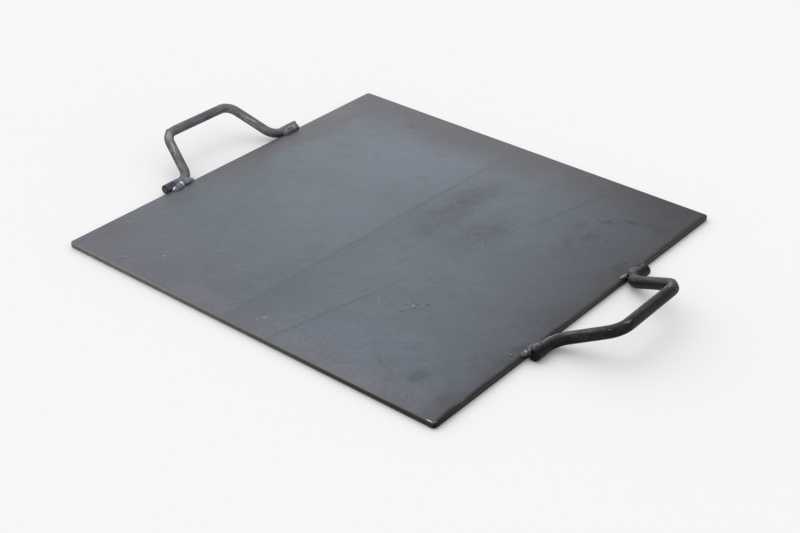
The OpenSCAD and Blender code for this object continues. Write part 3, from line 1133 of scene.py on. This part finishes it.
def make_bar_finish(name, bar, colours, rubs, smuts, rim):
    """Scale on a round bar, with painted shade on its underside and a painted highlight along its top,
    broken into rubbed streaks, and darkened in places. The rim is the brightness of its glancing
    reflections."""
    r = bar["d"] / 2
    material, pen, shader = new_finish(name)
    place = pen.place()
    straight = pen.node("ShaderNodeAttribute", attribute_name="straightened").outputs["Vector"]
    run, flank, height = pen.parts(straight)
    around = pen.times(pen.maths("ARCTAN2", flank, height), r * MM)
    unrolled = pen.node("ShaderNodeCombineXYZ", {0: run, 1: around, 2: PLATE_T * MM}).outputs[0]
    level = pen.maths("DIVIDE", height, r * MM)
    scale = pen.group(SCALE_GRAIN, **{"Place": place, "Cloud Size": 130.0, "Grain Size": 1100.0})
    streaks = pen.noise(pen.streaked(unrolled, 14, 1.1), 1.0, 4.0, 0.6)
    blotches = pen.noise(pen.streaked(unrolled, 5.5, 2.4), 1.0, 5.0, 0.65)

    colour = pen.blend(scale["Cloud"], colours["dark"], colours["light"])
    # Painted shade: the underside of the bar is darker than its top
    colour = pen.blend(pen.soft_step(level, 0.1, -0.8), colour, colours["under"])
    # Painted highlight along the top of the bar, where the light falls, broken into streaks of rubbed
    # scale
    rub = pen.times(pen.soft_step(level, 0.45, 0.95), pen.soft_step(streaks, 0.3, 0.7), 0.6)
    colour = pen.blend(rub, colour, colours["rubbed"])
    colour = pen.shaded(colour, pen.spread(blotches, 0.45, 1.55))
    ragged = pen.wobbled(unrolled, 420.0, 0.0022)
    # Pale spots: rubbed bare steel, and painted highlights along the top and beside the dents
    worn = pen.times(lay_marks(pen, ragged, rubs, 0.1), pen.soft_step(streaks, 0.22, 0.6))
    colour = pen.blend(worn, colour, colours["bare"])
    # Darker patches in the underside's colour; those beside the dents are painted shade
    sooty = pen.maths("MULTIPLY", lay_marks(pen, ragged, smuts, 0.1),
                     pen.spread(blotches, 1.3, 0.6), clamp=True)
    colour = pen.blend(sooty, colour, colours["under"])
    scratches = pen.soft_step(pen.noise(pen.streaked(unrolled, 16, 0.5, 3), 1.0, 2.0, 0.5), 0.62, 0.74)
    colour = pen.blend(pen.times(scratches, 0.4), colour, colours["rubbed"])
    flecks = pen.soft_step(pen.noise(place, 720.0, 4.0, 0.65), 0.58, 0.70)
    colour = pen.blend(pen.times(flecks, 0.5), colour, colours["rubbed"])

    # Sawn ends, dark round the outside as painted shade, mottled in the middle
    from_end = pen.maths("MINIMUM", run, pen.minus(bar_length(bar) * MM, run))
    across = pen.node("ShaderNodeCombineXYZ", {0: flank, 1: height}).outputs[0]
    from_axis = pen.node("ShaderNodeVectorMath", {0: across}, operation="LENGTH").outputs["Value"]
    face = pen.times(pen.ramp(from_end, 0.5, 0.2), pen.ramp(from_axis, r - 0.1, r - 0.7))
    core = pen.times(pen.ramp(from_axis, 0.8 * r, 0.4 * r), blotches)
    colour = pen.blend(face, colour, pen.blend(core, colours["end"], colours["heart"]))
    pen.wire(colour, shader["Base Color"])
    shader["Metallic"].default_value = 0.9
    shader["Specular Tint"].default_value = (rim, rim, rim, 1)
    pen.wire(pen.spread(blotches, 0.42, 0.6), shader["Roughness"])
    relief = pen.plus(scale["Height"], pen.times(streaks, 0.5))
    pen.wire(pen.bump(relief, 0.1), shader["Normal"])
    return material


# Finish of the welds

# Weld colours: shine is a painted highlight, and the dark spot colour also paints shade in gaps
SMOOTH_WELD = palette(
    dark=(96, 98, 108), light=(120, 122, 132), shine=(214, 217, 224), stain=(34, 34, 35))
ROUGH_WELD = palette(
    dark=(64, 65, 67), light=(110, 111, 113), shine=(190, 190, 190), stain=(34, 34, 35))
# Ripples across a bead: radians to a metre of it, and how far noise sways them
RIPPLE_RATE = 4600.0
RIPPLE_SWAY = 9.0

# Painted highlights and dark spots on the welds, the dark spots being stains and painted shade in the
# gaps beside the beads, in millimetres and degrees:
# x, y, half length, half width, turn of the length from +X, strength
WELD_GLINTS = [
    (-151.9, -59.3, 1.8, 1.2, 60, 1.0),
    (-152.0, -51.5, 2.2, 1.1, 25, 1.0),
    (-150.4, -50.8, 1.8, 0.5, 70, 0.6),
    (-151.4, 57.2, 2.6, 1.4, 60, 0.08),
    (-151.9, 65.0, 2.2, 1.2, 30, 0.26),
    (151.9, -64.2, 0.9, 0.6, 30, 0.7),
    (153.3, -63.1, 0.9, 0.7, 60, 0.5),
    (155.0, -55.0, 1.6, 0.8, 80, 0.6),
    (150.4, 45.2, 2.6, 1.8, 40, 0.4),
    (150.8, 47.6, 1.8, 1.2, 20, 0.3),
]
WELD_STAINS = [
    (153.6, -61.4, 1.2, 0.9, 30, 0.6),
    (153.0, -54.6, 4.6, 1.7, 80, 0.8),
    (156.0, 58.8, 3.0, 1.6, 80, 0.7),
    (-151.5, -48.6, 2.2, 0.8, 10, 0.6),
    (154.8, 62.4, 3.0, 3.0, 0, 0.8),
    (152.8, 53.0, 6.0, 5.0, 0, 0.66),
    (-151.6, 62.0, 18.0, 9.0, 85, 0.22),
]


def make_weld_finish(name, colours, ripple):
    """Raw weld metal, cloudy and rippled, with dark stains, some of them painted shade in gaps, and
    painted highlights.
    """
    material, pen, shader = new_finish(name)
    place = pen.place()
    _, along, _ = pen.parts(place)
    scale = pen.group(SCALE_GRAIN, **{"Place": place, "Cloud Size": 260.0, "Grain Size": 1600.0})
    sway = pen.times(pen.noise(place, 300.0, 2.0, 0.5), RIPPLE_SWAY)
    waves = pen.maths("SINE", pen.plus(pen.times(along, RIPPLE_RATE), sway))
    colour = pen.blend(scale["Cloud"], colours["dark"], colours["light"])
    colour = pen.shaded(colour, pen.spread(waves, 1.0, 1.0 + 0.16 * ripple))
    ragged = pen.wobbled(place, 500.0, 0.0016)
    # Dark spots: stains, and painted shade in the gaps beside the beads
    colour = pen.blend(lay_marks(pen, ragged, WELD_STAINS, 0.1), colour, colours["stain"])
    # Painted highlights on the beads
    colour = pen.blend(lay_marks(pen, ragged, WELD_GLINTS, 0.2), colour, colours["shine"])
    pen.wire(colour, shader["Base Color"])
    shader["Metallic"].default_value = 0.9
    pen.wire(pen.spread(scale["Cloud"], 0.48, 0.34), shader["Roughness"])
    relief = pen.plus(pen.times(scale["Height"], 0.5), pen.times(waves, 0.5 * ripple))
    pen.wire(pen.bump(relief, 0.1), shader["Normal"])
    return material


# Studio

# One wide soft lamp behind the griddle and to its left, in an evenly lit white room
LAMP_TURN = math.radians(168)
LAMP_RISE = math.radians(36)
LAMP_SPREAD = math.radians(90)
LAMP_STRENGTH = 1.5
ROOM_LIGHT = 0.80
BACKDROP_WHITE = 0.93
# Floor, in metres, just below the plate's underside
FLOOR_SIZE = 30
FLOOR_DROP = 0.0003
FLOOR_GREY = (0.86, 0.86, 0.86, 1)


def pointing(turn, rise):
    """The direction at a turn from +X and a rise above the floor."""
    return Vector((math.cos(turn) * math.cos(rise), math.sin(turn) * math.cos(rise), math.sin(rise)))


def set_camera():
    toward = pointing(CAMERA_TURN - math.radians(90), CAMERA_RISE)
    facing = (-toward).to_track_quat("-Z", "Y").to_matrix() @ Matrix.Rotation(CAMERA_ROLL, 3, "Z")
    deselect_all()
    bpy.ops.object.camera_add(location=CAMERA_TARGET + toward * CAMERA_DISTANCE,
                              rotation=facing.to_euler())
    camera = bpy.context.object
    camera.name = "photo_camera"
    camera.data.lens = CAMERA_LENS
    camera.data.sensor_width = SENSOR_WIDTH
    bpy.context.scene.camera = camera


def set_light():
    deselect_all()
    toward = pointing(LAMP_TURN, LAMP_RISE)
    bpy.ops.object.light_add(type="SUN", location=toward,
                             rotation=(-toward).to_track_quat("-Z", "Y").to_euler())
    lamp = bpy.context.object
    lamp.name = "soft_lamp"
    lamp.data.energy = LAMP_STRENGTH
    lamp.data.angle = LAMP_SPREAD
    world = bpy.data.worlds.new("studio")
    bpy.context.scene.world = world
    world.use_nodes = True
    pen = Draughtsman(world.node_tree)
    ray = pen.node("ShaderNodeLightPath").outputs
    seen = pen.plus(ray["Is Camera Ray"], ray["Is Glossy Ray"])
    seen = pen.maths("ADD", seen, ray["Is Transmission Ray"], clamp=True)
    backdrop = world.node_tree.nodes["Background"].inputs
    pen.wire(pen.spread(seen, ROOM_LIGHT, BACKDROP_WHITE), backdrop["Strength"])
    backdrop["Color"].default_value = (1, 1, 1, 1)


def lay_floor():
    deselect_all()
    bpy.ops.mesh.primitive_plane_add(size=FLOOR_SIZE, location=(0, 0, -FLOOR_DROP))
    floor = bpy.context.object
    floor.name = "pale_floor"
    material, _, shader = new_finish("pale_floor")
    shader["Base Color"].default_value = FLOOR_GREY
    shader["Roughness"].default_value = 0.9
    shader["Specular IOR Level"].default_value = 0.0
    floor.data.materials.append(material)


bpy.context.scene.view_settings.view_transform = "Standard"
set_camera()
set_light()
lay_floor()

plate_finish = make_plate_finish()
grey_bar = make_bar_finish("grey_bar_scale", LEFT_BAR, GREY_BAR, LEFT_BAR_RUBS, LEFT_BAR_SMUTS, rim=0.5)
black_bar = make_bar_finish(
    "black_bar_scale", RIGHT_BAR, BLACK_BAR, RIGHT_BAR_RUBS, RIGHT_BAR_SMUTS, rim=1.0)
smooth_weld = make_weld_finish("smooth_weld", SMOOTH_WELD, ripple=1.0)
rough_weld = make_weld_finish("rough_weld", ROUGH_WELD, ripple=0.3)

model_plate(plate_finish)
bend_handle("left_bar", "left_handle", grey_bar, **LEFT_BAR)
bend_handle("right_bar", "right_handle", black_bar, **RIGHT_BAR)
pile_weld("left_front_bead", "left_front_weld", smooth_weld, -1, LEFT_FRONT_PUDDLES,
          grain=1.6, depth=0.2, smoothing=6)
pile_weld("left_rear_bead", "left_rear_weld", smooth_weld, -1, LEFT_REAR_PUDDLES,
          grain=1.6, depth=0.2, smoothing=6)
pile_weld("right_front_bead", "right_front_weld", rough_weld, 1, RIGHT_FRONT_PUDDLES,
          grain=0.9, depth=0.5, smoothing=3)
pile_weld("right_rear_bead", "right_rear_weld", rough_weld, 1, RIGHT_REAR_PUDDLES,
          grain=1.6, depth=0.3, smoothing=5)
drop_spatter(rough_weld)

deselect_all()
